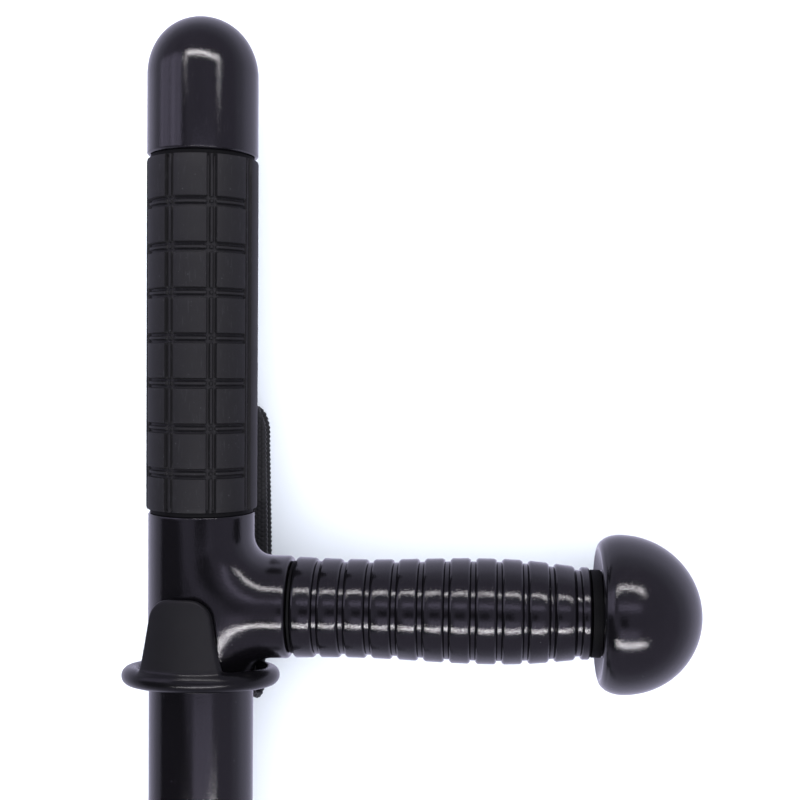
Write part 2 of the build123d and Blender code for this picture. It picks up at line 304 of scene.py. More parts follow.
def makeGlossyBlack():
    kit = glossyBlack
    material, graph, shader, place = newMaterial("glossyBlack")
    cloud = noise(place, 1 / (14 * mm), 3.0)
    peel = noise(place, 1 / kit["peelSize"], 2.0, 0.55)
    wave = noise(place, 1 / (5 * mm), 1.0)
    stretched = stretch(place, (1.0, 0.07, 1.0))
    hair = noise(stretched, 1 / (0.35 * mm), 2.0, 0.7)
    where = graph.step(noise(place, 1 / kit["scratchSize"], 1.0), 0.52, 0.66)
    scratches = graph.step(hair, 0.66, 0.72) * where
    dust = specks(place, 1 / (2.6 * mm), 0.055)
    colour = graph.colours(cloud * 0.5, kit["colour"], kit["cloudColour"])
    colour = graph.colours(dust * 0.6, colour, kit["dustColour"])
    wire(shader, "Base Color", colour)
    wire(shader, "Roughness", kit["roughness"] + cloud * 0.05 + scratches * 0.10 + dust * 0.5)
    height = peel + scratches * -0.6 + dust * 4.0
    swell = bumpOf(wave, 0.012 * mm)
    wire(shader, "Normal", bumpOf(height, kit["peelHeight"], 1.0, swell))
    shader.inputs["IOR"].default_value = kit["ior"]
    return material


gripRubber = {
    "colour": (0.0062, 0.0054, 0.0100), "channelShadeColour": (0.0010, 0.0009, 0.0012), "dustColour": (0.40, 0.40, 0.43),
    "cloudColour": (0.0112, 0.0105, 0.0132), "edgeColour": (0.024, 0.023, 0.027), "roughness": 0.56, "specular": 0.42,
    "grainSize": 0.22 * mm, "grainHeight": 0.010 * mm,
}


def makeGripRubber():
    kit = gripRubber
    material, graph, shader, place = newMaterial("gripRubber")
    depth = graph.node("ShaderNodeAttribute", {"attribute_name": "grooveDepth"}, None, out=2)
    edge = graph.node("ShaderNodeAttribute", {"attribute_name": "padEdge"}, None, out=2)
    cloud = noise(place, 1 / (11 * mm), 4.0, 0.6)
    grain = noise(place, 1 / kit["grainSize"], 3.0, 0.6)
    ripple = noise(place, 1 / (1.6 * mm), 2.0)
    stretched = stretch(place, (1.0, 0.10, 1.0))
    rubbed = graph.step(noise(stretched, 1 / (0.5 * mm), 2.0, 0.6), 0.60, 0.72)
    dust = specks(place, 1 / (1.9 * mm), 0.13) * (1 - depth)
    fine = specks(place, 1 / (0.8 * mm), 0.10)
    colour = graph.colours(cloud, kit["colour"], kit["cloudColour"])
    # painted shade: the deep sunk lines of the channels are coloured darker than the pads
    colour = graph.colours(graph.step(depth, 0.45, 0.85), colour, kit["channelShadeColour"])
    colour = graph.colours(edge * (0.35 + cloud * 0.5), colour, kit["edgeColour"])
    colour = graph.colours(rubbed * 0.22, colour, kit["edgeColour"])
    colour = graph.colours(dust * 0.8 + fine * 0.14, colour, kit["dustColour"])
    wire(shader, "Base Color", colour)
    wire(shader, "Roughness", kit["roughness"] + cloud * 0.12 - edge * 0.08 + grain * 0.06)
    low = bumpOf(ripple, 0.020 * mm, 0.7)
    wire(shader, "Normal", bumpOf(grain + dust * 3.0, kit["grainHeight"], 1.0, low))
    shader.inputs["Specular IOR Level"].default_value = kit["specular"]
    return material


satinNylon = {
    "colour": (0.0012, 0.0010, 0.0014), "cloudColour": (0.0030, 0.0027, 0.0034), "fleckColour": (0.10, 0.10, 0.11),
    "roughness": 0.42, "ringPolish": 0.24, "specular": 0.27, "grainSize": 0.30 * mm, "grainHeight": 0.006 * mm,
}


def makeSatinNylon():
    kit = satinNylon
    material, graph, shader, place = newMaterial("satinNylon")
    cloud = noise(place, 1 / (9 * mm), 3.0)
    grain = noise(place, 1 / kit["grainSize"], 3.0, 0.65)
    wave = noise(place, 1 / (3.5 * mm), 1.0)
    flecks = specks(place, 1 / (1.7 * mm), 0.06)
    x, y, z = graph.parts(place)
    onRing = 1 - graph.step(y - z * 0.13, 3.0 * mm, 3.8 * mm)
    colour = graph.colours(cloud, kit["colour"], kit["cloudColour"])
    colour = graph.colours(flecks * 0.5, colour, kit["fleckColour"])
    wire(shader, "Base Color", colour)
    wire(shader, "Roughness", kit["roughness"] + cloud * 0.08 + grain * 0.05 - onRing * kit["ringPolish"])
    low = bumpOf(wave, 0.015 * mm, 0.6)
    wire(shader, "Normal", bumpOf(grain, kit["grainHeight"], 1.0, low))
    shader.inputs["Specular IOR Level"].default_value = kit["specular"]
    return material


mattBlack = {
    "colour": (0.0013, 0.0011, 0.0014), "cloudColour": (0.0030, 0.0029, 0.0034), "roughness": 0.60, "specular": 0.12,
    "turnLine": 0.25 * mm,
}


def makeMattBlack():
    kit = mattBlack
    material, graph, shader, place = newMaterial("mattBlack")
    cloud = noise(place, 1 / (4 * mm), 3.0)
    lines = noise(place, 1 / kit["turnLine"], 2.0, 0.6)
    wire(shader, "Base Color", graph.colours(cloud, kit["colour"], kit["cloudColour"]))
    wire(shader, "Roughness", kit["roughness"] + lines * 0.14)
    wire(shader, "Normal", bumpOf(lines, 0.008 * mm))
    shader.inputs["Specular IOR Level"].default_value = kit["specular"]
    return material


weave = {
    "colour": (0.0030, 0.0029, 0.0036), "lightColour": (0.014, 0.0135, 0.016), "fuzzColour": (0.0080, 0.0078, 0.0092),
    "ribPitch": 1.5 * mm, "yarnWidth": 1.25 * mm, "height": 0.16 * mm, "fibreSize": 0.09 * mm, "roughness": 0.62,
    "sheen": 0.12, "sheenRoughness": 0.4,
}


def makeWeave():
    # the strap's own map gives the distance across it and along it, in metres
    kit = weave
    material, graph, shader, place = newMaterial("webbingWeave")
    across, along = graph.parts(graph.node("ShaderNodeUVMap", {"uv_map": "strapMap"}))[:2]
    column = (across / kit["yarnWidth"]).math("FLOOR")
    shifted = along / kit["ribPitch"] + column * 0.5
    yarn = (across / kit["yarnWidth"] * pi).math("SINE").math("ABSOLUTE")
    pick = (shifted * pi).math("SINE").math("ABSOLUTE")
    height = yarn.math("POWER", 0.6) * pick.math("POWER", 0.7)
    fibres = graph.vector(across / kit["fibreSize"], along / (kit["fibreSize"] * 9), 0.0)
    fibre = noise(fibres, 1.0, 2.0, 0.6)
    fuzz = noise(place, 1 / (6 * mm), 3.0)
    # painted shade and light: yarn crests coloured lighter and the hollows between yarns darker, with real fibre tone
    # mixed in
    colour = graph.colours(height * (0.35 + fibre * 0.6), kit["colour"], kit["lightColour"])
    colour = graph.colours(fuzz * 0.35, colour, kit["fuzzColour"])
    wire(shader, "Base Color", colour)
    wire(shader, "Roughness", kit["roughness"] + fibre * 0.22)
    wire(shader, "Normal", bumpOf(height + fibre * 0.25, kit["height"]))
    shader.inputs["Sheen Weight"].default_value = kit["sheen"]
    shader.inputs["Sheen Roughness"].default_value = kit["sheenRoughness"]
    return material


bondedThread = {
    "colour": (0.006, 0.006, 0.007), "lightColour": (0.018, 0.018, 0.020), "ply": 0.45 * mm, "roughness": 0.45,
}


def makeThread():
    kit = bondedThread
    material, graph, shader, place = newMaterial("bondedThread")
    x, y, z = graph.parts(place)
    ply = ((x + z * 0.7) / kit["ply"] * pi).math("SINE")
    fibre = noise(place, 1 / (0.12 * mm), 2.0)
    wire(shader, "Base Color", graph.colours(fibre, kit["colour"], kit["lightColour"]))
    wire(shader, "Roughness", kit["roughness"] + fibre * 0.25)
    wire(shader, "Normal", bumpOf(ply * 0.7 + fibre, 0.05 * mm))
    return material


def makeMetal(name, colour, other, roughness, metallic, lines, lineSize):
    # drawn, turned or knurled metal and plain nylon: lines is how the fine marks are stretched
    material, graph, shader, place = newMaterial(name)
    stretched = stretch(place, lines)
    marks = noise(stretched, 1 / lineSize, 3.0, 0.6)
    cloud = noise(place, 1 / (8 * mm), 2.0)
    wire(shader, "Base Color", graph.colours(marks * 0.6 + cloud * 0.3, colour, other))
    wire(shader, "Roughness", roughness + marks * 0.18)
    wire(shader, "Normal", bumpOf(marks, 0.006 * mm))
    shader.inputs["Metallic"].default_value = metallic
    return material


glossy = makeGlossyBlack()
rubber = makeGripRubber()
satin = makeSatinNylon()
matt = makeMattBlack()
webbing = makeWeave()
thread = makeThread()
print("materials ready")

# the pieces inside keep their CAD shapes and get a finish of their own
insideFinishes = {
    "core_tube": makeMetal("drawnAluminium", (0.62, 0.63, 0.65), (0.48, 0.49, 0.51), 0.28, 1.0, (1, 0.03, 1), 0.3 * mm),
    "handle_core": makeMetal("turnedSteel", (0.45, 0.45, 0.47), (0.33, 0.33, 0.35), 0.24, 1.0, (1, 0.1, 0.1), 0.2 * mm),
    "tee_insert": makeMetal("knurledBrass", (0.72, 0.55, 0.25), (0.55, 0.40, 0.17), 0.30, 1.0, (0.4, 1, 1), 0.5 * mm),
    "root_bush": makeMetal("naturalNylon", (0.75, 0.74, 0.70), (0.66, 0.65, 0.60), 0.42, 0.0, (1, 1, 1), 0.6 * mm),
}
insideFinishes["knob_insert"] = insideFinishes["tee_insert"]
insideFinishes["knob_bush"] = insideFinishes["root_bush"]
for nodeName, finish in insideFinishes.items():
    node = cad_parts[nodeName]
    if not node.material_slots:
        node.data.materials.append(finish)
    for materialSlot in node.material_slots:
        materialSlot.material = finish


# shaft and tip, both turned about the shaft's axis

shaftKit = {"edge": 0.25 * mm, "coreWall": 2 * mm}
low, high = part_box("shaft_tube")
shaftR = high.x
coreLow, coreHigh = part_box("core_tube")
coreR = coreHigh.x
sleeveBore = coreR + 0.05 * mm        # clear of the core tube
handleLow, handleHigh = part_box("handle_grip")
handleY = (handleLow.y + handleHigh.y) / 2
bore = coreR - shaftKit["coreWall"]
edge = shaftKit["edge"]
shaftCorners = [
    (low.y, bore, 0), (low.y, shaftR, edge), (high.y, shaftR, edge), (high.y, sleeveBore, 0),
    (coreLow.y, sleeveBore, 0), (coreLow.y, bore, 0),
]
shaft = lathe("shaftTube", shaftCorners, "y", (0, 0, 0), glossy, 192)
settle(shaft, "baton", "gloss_black", "shaft_tube")

tipLow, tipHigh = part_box("tip_cap")
tipCorners = [(tipHigh.y, 0, 0), (tipHigh.y, bore - 0.05 * mm, 1 * mm), (low.y, bore - 0.05 * mm, 0)]
tipCorners += [(low.y, shaftR - edge, 0), (low.y - edge, shaftR, 0)]
tipDome = arc(low.y - 2 * edge, 0, tipLow.y - low.y + 2 * edge, shaftR, 0, 90, 28)
tip = lathe("tipCap", tipCorners + tipDome[:-1] + [(tipLow.y, 0, 0)], "y", (0, 0, 0), glossy, 192)
settle(tip, "baton", "gloss_black", "tip_cap")


# tee: the sleeve and the side handle's root, flowing into each other

teeKit = {
    "blend": 25 * mm, "blendFade": 0.742, "rootR": 15.6 * mm, "edge": 0.45 * mm, "rootEdge": 1.2 * mm,
    "socketDepth": 7 * mm, "around": 144, "rootRings": 14, "bodyRings": 34,
}
teeLow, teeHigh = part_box("tee_body")
teeR = teeHigh.z
rootR = teeKit["rootR"]


def teeDistance(p):
    # how far a point lies outside the two round bodies, melted together most where they meet squarely
    x, y, z = p[:, 0], p[:, 1] - handleY, p[:, 2]
    bodyFar = np.hypot(x, z)
    rootFar = np.hypot(y, z)
    facing = z * z / np.maximum(bodyFar * rootFar, 1e-9)
    apart = np.sqrt(np.clip(1 - facing, 1e-4, 1))
    melt = teeKit["blend"] * apart ** 1.5 * (1 - teeKit["blendFade"] * apart ** 2)
    first, second = bodyFar - teeR, np.where(x > 0, rootFar - rootR, 1.0)
    share = np.clip(0.5 + 0.5 * (second - first) / melt, 0, 1)
    return second + (first - second) * share - melt * share * (1 - share)


def ontoTee(p):        # moves points along the slope until they lie on the surface
    for again in range(12):
        far = teeDistance(p)
        slope = np.stack([teeDistance(p + np.eye(3)[k] * 1e-6) - far for k in range(3)], -1) / 1e-6
        p = p - slope * (far / np.maximum((slope ** 2).sum(-1), 0.2))[:, None]
    return p


def makeTee():
    kit = teeKit
    count = kit["around"]
    girth = pi * teeR
    top, bottom = teeHigh.y - kit["edge"] - handleY, teeLow.y + kit["edge"] - handleY
    topTurns, sideTurns = count // 6, count * 11 // 72        # how many spokes end on half the top and on one side
    bottomTurns = count // 2 - topTurns - sideTurns
    ends = []        # where each spoke ends, on the sleeve unrolled flat
    for i in range(count // 2 + 1):
        if i <= topTurns:
            ends.append((girth * i / topTurns, top))
        elif i <= topTurns + sideTurns:
            ends.append((girth, top + (bottom - top) * (i - topTurns) / sideTurns))
        else:
            ends.append((girth * (1 - (i - topTurns - sideTurns) / bottomTurns), bottom))
    ends = np.array(ends + [(-u, v) for u, v in ends[-2:0:-1]])
    rings = []
    turns = 2 * pi * np.arange(count) / count
    meetX = np.sqrt(teeR ** 2 - (rootR * np.sin(turns)) ** 2)
    endX = teeHigh.x - kit["rootEdge"]
    for k in range(kit["rootRings"]):
        x = endX + (meetX - endX) * k / kit["rootRings"]
        rings.append(np.stack([x, handleY + rootR * np.cos(turns), rootR * np.sin(turns)], -1))
    startU = teeR * np.arcsin(rootR * np.sin(turns) / teeR)
    startV = rootR * np.cos(turns)
    for k in range(kit["bodyRings"] + 1):
        share = (k / kit["bodyRings"]) ** 1.5
        u = startU + (ends[:, 0] - startU) * share
        v = startV + (ends[:, 1] - startV) * share
        rings.append(np.stack([teeR * np.cos(u / teeR), handleY + v, teeR * np.sin(u / teeR)], -1))
    spots = ontoTee(np.concatenate(rings))
    rows = len(rings)
    last = spots.reshape(rows, count, 3)
    last[0, :, 0] = endX
    last[-1, np.isclose(ends[:, 1], top), 1] = handleY + top
    last[-1, np.isclose(ends[:, 1], bottom), 1] = handleY + bottom
    faces = []
    for k in range(rows - 1):
        for i in range(count):
            j = (i + 1) % count
            faces.append((k * count + i, k * count + j, (k + 1) * count + j, (k + 1) * count + i))
    mesh = bpy.data.meshes.new("teeBody")
    mesh.from_pydata(last.reshape(-1, 3), [], faces)
    work = bmesh.new()
    work.from_mesh(mesh)
    bmesh.ops.remove_doubles(work, verts=work.verts, dist=1e-6)
    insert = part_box("tee_insert")[1].z + 0.05 * mm
    rims = [        # open rims, which end in a rounded edge, a flat and a socket
        (Vector((0, handleY + top, 0)), Vector((0, 1, 0)), sleeveBore, kit["edge"]),
        (Vector((0, handleY + bottom, 0)), Vector((0, -1, 0)), sleeveBore, kit["edge"]),
        (Vector((endX, handleY, 0)), Vector((1, 0, 0)), insert, kit["rootEdge"]),
    ]
    for centre, way, socketR, edge in rims:
        rim = [e for e in work.edges if e.is_boundary and all(abs((v.co - centre).dot(way)) < 1e-5 for v in e.verts)]
        steps = [(edge * sin(t), edge * (1 - cos(t))) for t in (pi / 8, pi / 4, 3 * pi / 8, pi / 2)]
        rimR = max((v.co - centre).length for e in rim for v in e.verts)
        steps = [(ahead, rimR - inwards) for ahead, inwards in steps]
        for ahead, reach in steps + [(edge, socketR), (-kit["socketDepth"], socketR)]:
            rim = grow(work, rim, centre, way, ahead, reach)
        bmesh.ops.holes_fill(work, edges=rim)
    bmesh.ops.recalc_face_normals(work, faces=work.faces)
    work.to_mesh(mesh)
    work.free()
    return keepMesh("teeBody", mesh, glossy, 50)


def grow(work, rim, centre, way, ahead, reach):
    # one more ring of faces on an open rim; each point keeps its turn round the axis
    made = bmesh.ops.extrude_edge_only(work, edges=rim)["geom"]
    newEdges = [g for g in made if isinstance(g, bmesh.types.BMEdge) and g.is_boundary]
    for v in {v for e in newEdges for v in e.verts}:
        out = v.co - centre
        out -= way * out.dot(way)
        v.co = centre + out.normalized() * reach + way * ahead
    return newEdges


tee = makeTee()
settle(tee, "baton", "gloss_black", "tee_body")


# rubber grip: pads parted by channels, on the front and on the back

channelKit = {
    "halfWidth": 1.50 * mm, "depth": 1.35 * mm, "beadHalf": 0.40 * mm, "beadDepth": 0.50 * mm, "soft": 0.15 * mm,
}
gripLow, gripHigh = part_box("grip_sleeve")
gripR = gripHigh.z
gripSizes = {
    "radius": gripR, "bore": sleeveBore, "bottom": gripLow.y, "top": gripHigh.y, "rows": 8,
    "rowTrim": 0.64 * mm, "rowDrop": 1.2 * mm, "sectors": 8, "stations": 24, "rim": 0.5 * mm, "rimRound": 0.3 * mm,
    **channelKit,
}


def gripTree(graph, size):
    stations = size["stations"]
    turns = size["sectors"] * stations
    rises = size["rows"] * stations
    grid, column, line = lattice(graph, turns, rises + 3.0)
    atTop = (line > rises + 0.5) * (line < rises + 1.5)
    atBottom = (line > rises + 1.5) * (line < rises + 2.5)
    closing = line > rises + 2.5
    onBore = atTop + atBottom
    line = line * (1 - closing)
    zone = size["halfWidth"] + size["soft"] * 2

    def station(index, pitch):        # crowds the lines into the channels
        period = ((index + 0.5) / stations).math("FLOOR")
        share = index / stations - period
        near = share * 2 * zone / 0.7 - zone
        far = zone + (share - 0.7) / 0.3 * (pitch - zone * 2)
        return period, graph.pick(share > 0.7, near, far)

    sectorArc = 2 * pi * size["radius"] / size["sectors"]
    sector, arcAlong = station(column, sectorArc)
    turn = (sector + 0.5) * 2 * pi / size["sectors"] + arcAlong / size["radius"]
    pitch = (size["top"] - size["bottom"] + size["rowTrim"] * 2) / size["rows"]
    row, rise = station(line, pitch)
    height = size["bottom"] - size["rowTrim"] - size["rowDrop"] + row * pitch + rise
    lowest = (stations * 0.7).math("CEIL")        # the first line clear of the hidden channel under the bottom rim
    height = graph.pick(abs(line - lowest) < 0.5, height, size["bottom"] + size["rim"] * 1.1)
    height = graph.pick(abs(line - rises + 1) < 0.5, height, size["top"] - size["rim"] * 1.1)
    height = graph.pick(line > rises - 0.5, height, size["top"])
    height = height.math("MAXIMUM", size["bottom"]).math("MINIMUM", size["top"])
    height = graph.pick(atTop, graph.pick(atBottom, height, size["bottom"]), size["top"])

    def channel(far):        # two sunk lines with a lower bead between them
        sunk = 1 - graph.step(far, size["halfWidth"] - size["soft"], size["halfWidth"])
        bead = 1 - graph.step(far, size["beadHalf"] - size["soft"] * 0.5, size["beadHalf"] + size["soft"] * 1.5)
        return sunk * (size["depth"] - bead * (size["depth"] - size["beadDepth"])) / size["depth"]

    def nearest(value, period):        # distance to the nearest whole number of periods
        return abs(value - (value / period).math("ROUND") * period)

    sideFar = nearest(arcAlong, sectorArc)
    fromEnds = (height - size["bottom"]).math("MINIMUM", size["top"] - height)
    inside = graph.step(fromEnds, size["rim"] * 0.7, size["rim"])
    upright = channel(sideFar) * inside
    rowFar = nearest(rise, pitch)
    cross = turn.math("COSINE")
    front = abs(cross) > cos(radians(66))
    level = channel(rowFar) * front * graph.step(fromEnds, 2 * mm, 3 * mm)
    depth = upright.math("MAXIMUM", level)
    border = (sideFar - size["halfWidth"]).math("MINIMUM", graph.pick(front, 1.0, rowFar - size["halfWidth"]))
    padEdge = (1 - graph.step(border, 0.0, 0.5 * mm)) * (border > 0.0) * (1 - onBore)
    crown = graph.step(border, 0.0, 0.7 * mm) * 0.10 * mm - 0.10 * mm
    rimDrop = (1 - graph.step(fromEnds, -0.1 * mm, size["rimRound"])) * 0.2 * mm
    out = size["radius"] - depth * size["depth"] + crown * (1 - depth) - rimDrop
    out = graph.pick(onBore, out, size["bore"])
    spot = graph.vector(out * turn.math("SINE"), height, out * cross)
    placed = graph.node("GeometryNodeSetPosition", None, {"Geometry": grid, "Position": spot})
    for name, value in (("grooveDepth", depth), ("padEdge", padEdge)):
        placed = graph.node("GeometryNodeStoreNamedAttribute", {"data_type": "FLOAT", "domain": "POINT"},
                            {"Geometry": placed, "Name": name, "Value": value})
    return graph.node("GeometryNodeMergeByDistance", None, {"Geometry": placed, "Distance": 2e-6})


grip = nodeModel("gripSleeve", gripSizes, gripTree, rubber, 60)
settle(grip, "baton", "grip_rubber", "grip_sleeve")


# retaining rings and washers

for nodeName, pieceName, axis in (
    ("grip_ring_lower", "gripRingLower", "y"), ("grip_ring_upper", "gripRingUpper", "y"),
    ("root_washer", "rootWasher", "x"), ("neck_washer", "neckWasher", "x"),
):
    low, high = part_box(nodeName)
    start, end = (low.y, high.y) if axis == "y" else (low.x, high.x)
    innerR = sleeveBore if axis == "y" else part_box("handle_core")[1].z + 0.05 * mm
    bevel = min(0.2 * mm, (end - start) / 4)
    ringCorners = [(start, innerR, 0), (start, high.z, bevel), (end, high.z, bevel), (end, innerR, 0)]
    washer = lathe(pieceName, ringCorners, axis, (0, handleY, 0) if axis == "x" else (0, 0, 0), matt)
    settle(washer, "baton", "matte_black", nodeName)


# domed cap

capKit = {"fullness": 0.57, "lip": 0.6 * mm, "domeRise": 18 * mm}
capLow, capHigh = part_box("end_cap")
capR = capHigh.x
domeY = capHigh.y - capKit["domeRise"]
capCorners = [(capLow.y, sleeveBore, 0), (capLow.y, capR - capKit["lip"], 0.2 * mm)]
capCorners.append((capLow.y + capKit["lip"], capR, 0.5 * mm))
for k in range(41):        # a Bezier dome
    t = k / 40
    a = domeY + capKit["domeRise"] * (3 * (1 - t) ** 2 * t * capKit["fullness"] + 3 * (1 - t) * t * t + t ** 3)
    r = capR * ((1 - t) ** 3 + 3 * (1 - t) ** 2 * t + 3 * (1 - t) * t * t * capKit["fullness"])
    capCorners.append((a, r, 0))
socketY = coreHigh.y + 0.3 * mm
capCorners += [(socketY, 0, 0), (socketY, sleeveBore, 0)]
cap = lathe("domedCap", capCorners, "y", (0, 0, 0), glossy, 192)
settle(cap, "baton", "gloss_black", "end_cap")


# ribbed handle

ribKit = {
    "ribs": 11, "pitch": 7.84 * mm, "gap": 1.5 * mm, "depth": 0.95 * mm, "roundAlong": 1.15 * mm,
    "meanR": 15.45 * mm, "swell": 0.5 * mm, "swellLength": 78 * mm, "crestX": 87 * mm, "taperX": 92 * mm, "taper": 2.25,
    "endRingR": 13.8 * mm, "endRingWidth": 2.8 * mm, "crown": 0.10 * mm, "boreR": 9 * mm,
}
ribSizes = {"startX": handleLow.x, "endX": handleHigh.x, "axisY": handleY, "stations": 18, "around": 144, **ribKit}


def ribTree(graph, size):
    stations = size["stations"]
    lines = (size["ribs"] + 1.0) * stations
    grid, line, spoke = lattice(graph, lines + 2.0, size["around"])
    turn = spoke * 2 * pi / size["around"]
    atEnd = (line > lines - 0.5) * (line < lines + 0.5)
    atStart = (line > lines + 0.5) * (line < lines + 1.5)
    closing = line > lines + 1.5
    line = line * (1 - closing)
    rib = ((line + 0.5) / stations).math("FLOOR")
    share = line - rib * stations
    isEnd = rib > size["ribs"] - 0.5
    length = graph.pick(isEnd, size["pitch"] - size["gap"], size["endRingWidth"])
    curve = graph.pick(isEnd, size["roundAlong"], size["endRingWidth"] * 0.3)
    half = stations / 2
    left = share < half - 0.5        # the rib's left shoulder, then its right one
    steps = half - 2.0
    sweep = graph.pick(left, pi - (share - 1.0) / steps * pi / 2, pi / 2 - (share - half) / steps * pi / 2)
    foot = (share < 0.5) + (share > stations - 1.5)        # on the groove's floor
    middle = graph.pick(left, length - curve, curve)
    ribStart = size["startX"] + rib * size["pitch"]
    along = ribStart + middle + curve * sweep.math("COSINE")
    along = graph.pick(foot, along, ribStart + graph.pick(left, length + size["gap"] * 0.12, size["gap"] * -0.12))
    along = along.math("MAXIMUM", size["startX"]).math("MINIMUM", size["endX"])
    past = (along - size["taperX"]).math("MAXIMUM", 0.0)
    crest = size["meanR"] + ((along - size["crestX"]) / size["swellLength"] * 2 * pi).math("COSINE") * size["swell"]
    crest = crest - past * past * size["taper"]
    crest = graph.pick(isEnd, crest, size["endRingR"])
    lift = graph.pick(foot, sweep.math("SINE"), 0.0)
    off = (along - ribStart) / length * 2 - 1
    out = crest - size["depth"] * (1 - lift) - off * off * size["crown"] * (1 - isEnd)
    out = graph.pick(atEnd + atStart, out, size["boreR"])
    along = graph.pick(atEnd, graph.pick(atStart, along, size["startX"]), size["endX"])
    spot = graph.vector(along, size["axisY"] + out * turn.math("SINE"), out * turn.math("COSINE"))
    placed = graph.node("GeometryNodeSetPosition", None, {"Geometry": grid, "Position": spot})
    return graph.node("GeometryNodeMergeByDistance", None, {"Geometry": placed, "Distance": 2e-6})


ribbed = nodeModel("ribbedHandle", ribSizes, ribTree, glossy, 42)
settle(ribbed, "turning_handle", "gloss_black", "handle_grip")


# mushroom knob

knobLow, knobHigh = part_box("knob")
knobKit = {
    "back": 0.9 * mm, "belly": 6.7 * mm, "rimR": 19.8 * mm, "neckR": 13.1 * mm, "bossLength": 2.3 * mm,
    "partLineX": 1.3 * mm, "partDepth": 0.12 * mm,
}
knobR = knobHigh.z
bossX = knobLow.x + knobKit["back"]
bellyX = knobLow.x + knobKit["belly"]
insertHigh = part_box("knob_insert")[1]
insertR, insertX = insertHigh.z + 0.05 * mm, insertHigh.x + 0.3 * mm
knobCorners = [(bossX, insertR, 0), (bossX, knobKit["neckR"], 0.35 * mm)]
knobCorners.append((bossX + knobKit["bossLength"], knobKit["neckR"], 0.4 * mm))
knobCorners.append((knobLow.x, knobKit["rimR"] - 0.25 * mm, 0.3 * mm))
belly = arc(bellyX, knobKit["rimR"], -knobKit["belly"], knobR - knobKit["rimR"], 88, 0, 22)
for a, r, radius in belly:
    sink = max(0.0, 1 - abs(a - knobLow.x - knobKit["partLineX"]) / (0.35 * mm)) * knobKit["partDepth"]
    knobCorners.append((a, r - sink, 0))
knobCorners += arc(bellyX, 0, knobHigh.x - bellyX, knobR, 0, 90, 48)[1:-1] + [(knobHigh.x, 0, 0)]
knobCorners += [(insertX, 0, 0), (insertX, insertR, 0)]
knob = lathe("mushroomKnob", knobCorners, "x", (0, handleY, 0), glossy, 192)
settle(knob, "baton", "gloss_black", "knob")


# holder ring with its tongue, one moulding

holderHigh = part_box("holder_ring")[1]
tongueKit = {
    "thick": 2.2 * mm, "baseHalf": 12.8 * mm, "topHalf": 8.7 * mm, "corner": 5.5 * mm, "edge": 0.7 * mm,
    "turnDeg": -6.5, "root": 1.6 * mm, "flare": 1.3 * mm, "flareRise": 2.6 * mm, "rise": 24.0 * mm, "tiltDeg": 7.5,
    "ringY": 0.3 * mm,
}
tubeR = 2.85 * mm
ringR = holderHigh.x - tubeR
holderSizes = {"ringR": ringR, "tubeR": tubeR, "tongueR": ringR - 0.6 * mm, "voxel": 0.42 * mm, **tongueKit}


def rounded(first, second, radius):        # where two walls meet, with the corner rounded off
    a, b = first + radius, second + radius
    far, high = a.math("MAXIMUM", 0.0), b.math("MAXIMUM", 0.0)
    return (far * far + high * high).math("SQRT") - radius + a.math("MAXIMUM", b).math("MINIMUM", 0.0)


def holderTree(graph, size):
    x, y, z = graph.parts(graph.node("GeometryNodeInputPosition"))
    tilt = size["tiltDeg"] * pi / 180        # the ring hangs down at the back
    turn = size["turnDeg"] * pi / 180
    high = y - size["ringY"]
    rise = high * tilt.math("COSINE") - z * tilt.math("SINE")
    z = high * tilt.math("SINE") + z * tilt.math("COSINE")
    side = x * turn.math("COSINE") - z * turn.math("SINE")
    front = x * turn.math("SINE") + z * turn.math("COSINE")
    rho = (x * x + z * z).math("SQRT")
    hoop = ((rho - size["ringR"]) ** 2 + rise ** 2).math("SQRT") - size["tubeR"]
    lean = (size["baseHalf"] - size["topHalf"]) / size["rise"]
    halfWidth = size["baseHalf"] - rise * lean + (-abs(rise) / size["flareRise"]).math("EXPONENT") * size["flare"]
    outline = rounded(abs(side) - halfWidth, rise - size["rise"], size["corner"]).math("MAXIMUM", -rise - 1.0 * mm)
    wall = abs(rho - size["tongueR"] - size["thick"] / 2) - size["thick"] / 2
    plate = rounded(outline, wall, size["edge"]).math("MAXIMUM", -front)
    whole = graph.math("SMOOTH_MIN", hoop, plate, size["root"])
    reach = size["ringR"] + size["tubeR"] + 1.5 * mm
    bottom = size["ringY"] - size["tubeR"] - size["ringR"] * tilt.math("SINE") - 1.5 * mm
    top = size["ringY"] + size["rise"] + 4 * mm
    across = (reach * 2 / size["voxel"]).math("ROUND")
    block = graph.node("GeometryNodeVolumeCube", None, {
        "Density": -whole, "Background": -0.01,
        "Min": graph.vector(-reach, bottom, -reach), "Max": graph.vector(reach, top, reach),
        "Resolution X": across, "Resolution Y": ((top - bottom) / size["voxel"]).math("ROUND"), "Resolution Z": across})
    skin = graph.node("GeometryNodeVolumeToMesh", {"resolution_mode": "GRID"}, {"Volume": block, "Threshold": 0.0})
    for pull in range(3):        # onto the true surface
        normal = graph.node("GeometryNodeInputNormal")
        shift = graph.node("ShaderNodeVectorMath", {"operation": "SCALE"}, {0: normal, "Scale": -whole})
        skin = graph.node("GeometryNodeSetPosition", None, {"Geometry": skin, "Offset": shift})
    return skin


holder = nodeModel("holderRing", holderSizes, holderTree, satin, 60)
settle(holder, "holder", "holder_matte", "holder_ring")


# belt loop: one strip of webbing, round the ring and up the back, stitched to itself

strapKit = {
    "thick": 1.5 * mm, "halfWidth": 17.5 * mm, "scallop": 0.42 * mm, "ribPitch": 1.5 * mm, "topCorner": 9 * mm,
    "cupFrom": 2 * mm, "cupTo": 10 * mm, "narrow": 1.0 * mm, "columns": 28,
}
loopLow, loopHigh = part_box("belt_loop")
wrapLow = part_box("loop_wrap")[0]
wrapInner = teeR + 0.3 * mm
wrapOuter = -wrapLow.z


